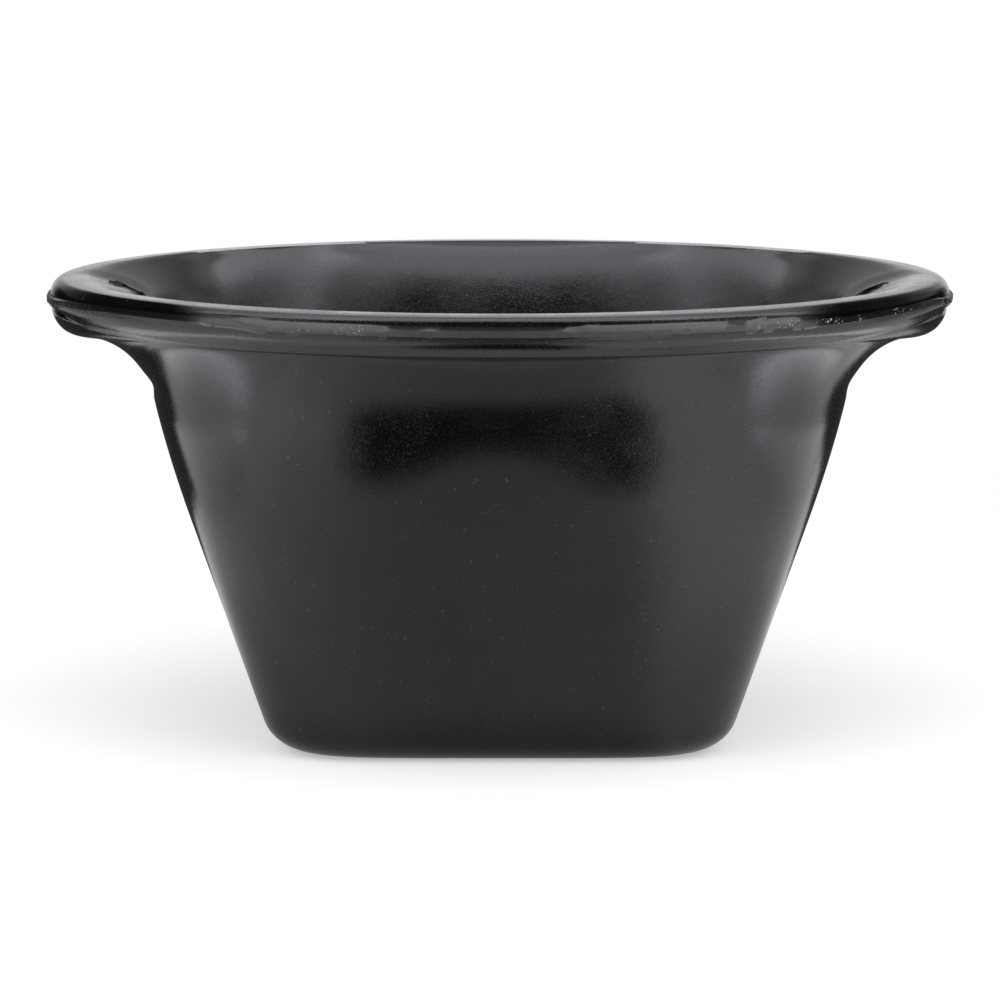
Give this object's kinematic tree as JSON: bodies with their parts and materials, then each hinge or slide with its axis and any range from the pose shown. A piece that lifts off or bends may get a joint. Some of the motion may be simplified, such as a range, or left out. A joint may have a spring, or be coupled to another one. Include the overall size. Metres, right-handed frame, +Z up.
{
  "type": "rubber feed tub",
  "caption": "Oval moulded rubber tub with drafted walls, a rolled lip and thick end grips with rope holes, for feed or water.",
  "frame": {"origin": "middle of the base, on the ground", "axes": "+X along the tub's length to one end grip, +Y to the back, +Z up"},
  "size_m": [0.4, 0.328, 0.203],
  "materials": {
    "rubber": "satin moulded rubber with a faint grey bloom"
  },
  "bodies": {
    "root": {"tub": "rubber"}
  },
  "joints": []
}
